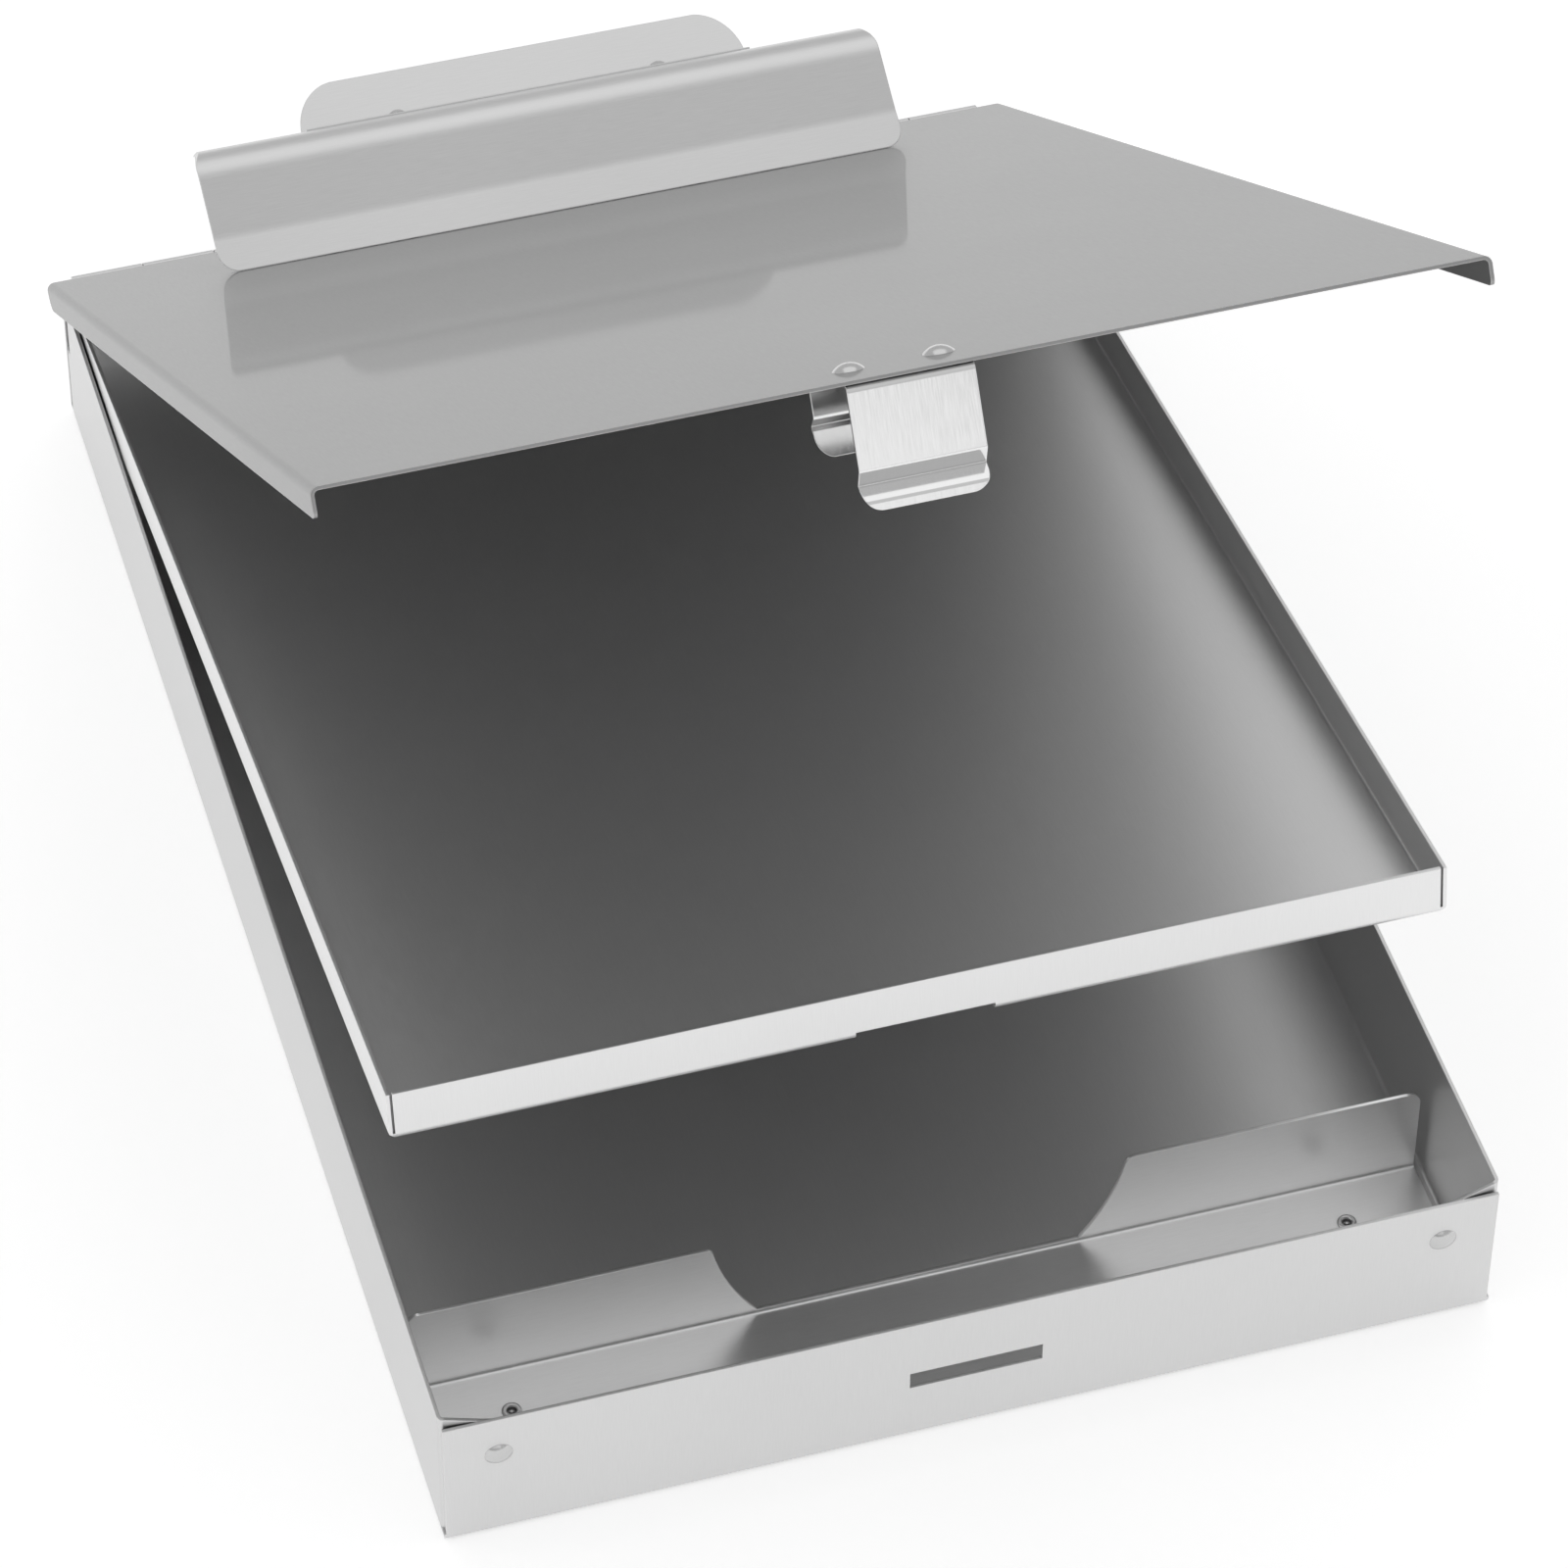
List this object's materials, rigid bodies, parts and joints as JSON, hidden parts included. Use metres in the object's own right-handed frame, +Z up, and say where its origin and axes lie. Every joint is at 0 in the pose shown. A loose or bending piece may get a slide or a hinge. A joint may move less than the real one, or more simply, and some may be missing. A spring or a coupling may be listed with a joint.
{
  "type": "storage clipboard box",
  "caption": "Folded aluminium storage clipboard: open box with a pen trough, a hinged middle tray, and a hinged lid that carries a sprung paper clip and a spring latch.",
  "frame": {"origin": "centre of the box's underside, on the surface it stands on", "axes": "+X across the width to the right, +Y from the latch end to the hinge end, +Z up"},
  "size_m": [0.2364, 0.372, 0.2458],
  "materials": {
    "box_sheet": "fine brushed satin",
    "trough_sheet": "brushed along its length",
    "tray_sheet": "fine brushed satin",
    "lid_sheet": "smooth satin, slightly reflective",
    "hinge_leaves": "mill finish",
    "clip_steel": "brushed along its length",
    "latch_nickel": "bright nickel plate",
    "nickel_rivets": "nickel plate",
    "steel_pins": "ground steel",
    "spring_wire": "drawn spring steel"
  },
  "bodies": {
    "box": {"base_box": "box_sheet", "base_hinge_rivet_1": "nickel_rivets", "base_hinge_rivet_2": "nickel_rivets", "base_hinge_rivet_3": "nickel_rivets", "base_hinge_rivet_4": "nickel_rivets", "base_hinge_rivet_5": "nickel_rivets", "front_corner_rivet_left": "nickel_rivets", "front_corner_rivet_right": "nickel_rivets", "hinge_leaf_base": "hinge_leaves", "hinge_pin": "steel_pins", "pen_trough": "trough_sheet", "rear_corner_rivet_left": "nickel_rivets", "rear_corner_rivet_right": "nickel_rivets", "trough_rivet_left": "nickel_rivets", "trough_rivet_right": "nickel_rivets"},
    "tray": {"hinge_leaf_tray": "hinge_leaves", "middle_tray": "tray_sheet", "tray_hinge_rivet_1": "nickel_rivets", "tray_hinge_rivet_2": "nickel_rivets", "tray_hinge_rivet_3": "nickel_rivets", "tray_hinge_rivet_4": "nickel_rivets", "tray_hinge_rivet_5": "nickel_rivets"},
    "lid": {"clip_bracket": "clip_steel", "clip_bracket_rivet_1": "nickel_rivets", "clip_bracket_rivet_2": "nickel_rivets", "clip_bracket_rivet_3": "nickel_rivets", "clip_bracket_rivet_4": "nickel_rivets", "clip_pivot_pin": "steel_pins", "hinge_leaf_lid": "hinge_leaves", "latch_rivet_left": "nickel_rivets", "latch_rivet_right": "nickel_rivets", "latch_spring": "latch_nickel", "lid_hinge_rivet_1": "nickel_rivets", "lid_hinge_rivet_2": "nickel_rivets", "lid_hinge_rivet_3": "nickel_rivets", "lid_hinge_rivet_4": "nickel_rivets", "lid_hinge_rivet_5": "nickel_rivets", "lid_panel": "lid_sheet"},
    "clip": {"clip_jaw": "clip_steel", "clip_lever_plate": "clip_steel", "clip_lever_rivet_left": "nickel_rivets", "clip_lever_rivet_right": "nickel_rivets", "clip_spring_left": "spring_wire", "clip_spring_right": "spring_wire"}
  },
  "joints": [
    {"name": "tray_hinge", "type": "hinge", "parent": "box", "child": "tray", "pos_m": [0, 0.1789, 0.0379], "axis": [-1, 0, 0], "range_deg": [-10, 35]},
    {"name": "lid_hinge", "type": "hinge", "parent": "tray", "child": "lid", "pos_m": [0, 0.1789, 0.0379], "axis": [-1, 0, 0], "range_deg": [-25.1, 99.9]},
    {"name": "clip_pivot", "type": "hinge", "parent": "lid", "child": "clip", "pos_m": [0, 0.16831, 0.06196], "axis": [-1, 0, 0], "range_deg": [0, 20], "stiffness_Nm_per_rad": 0.3, "springref_deg": -38.39, "deforming": ["clip_spring_left", "clip_spring_right"]}
  ]
}
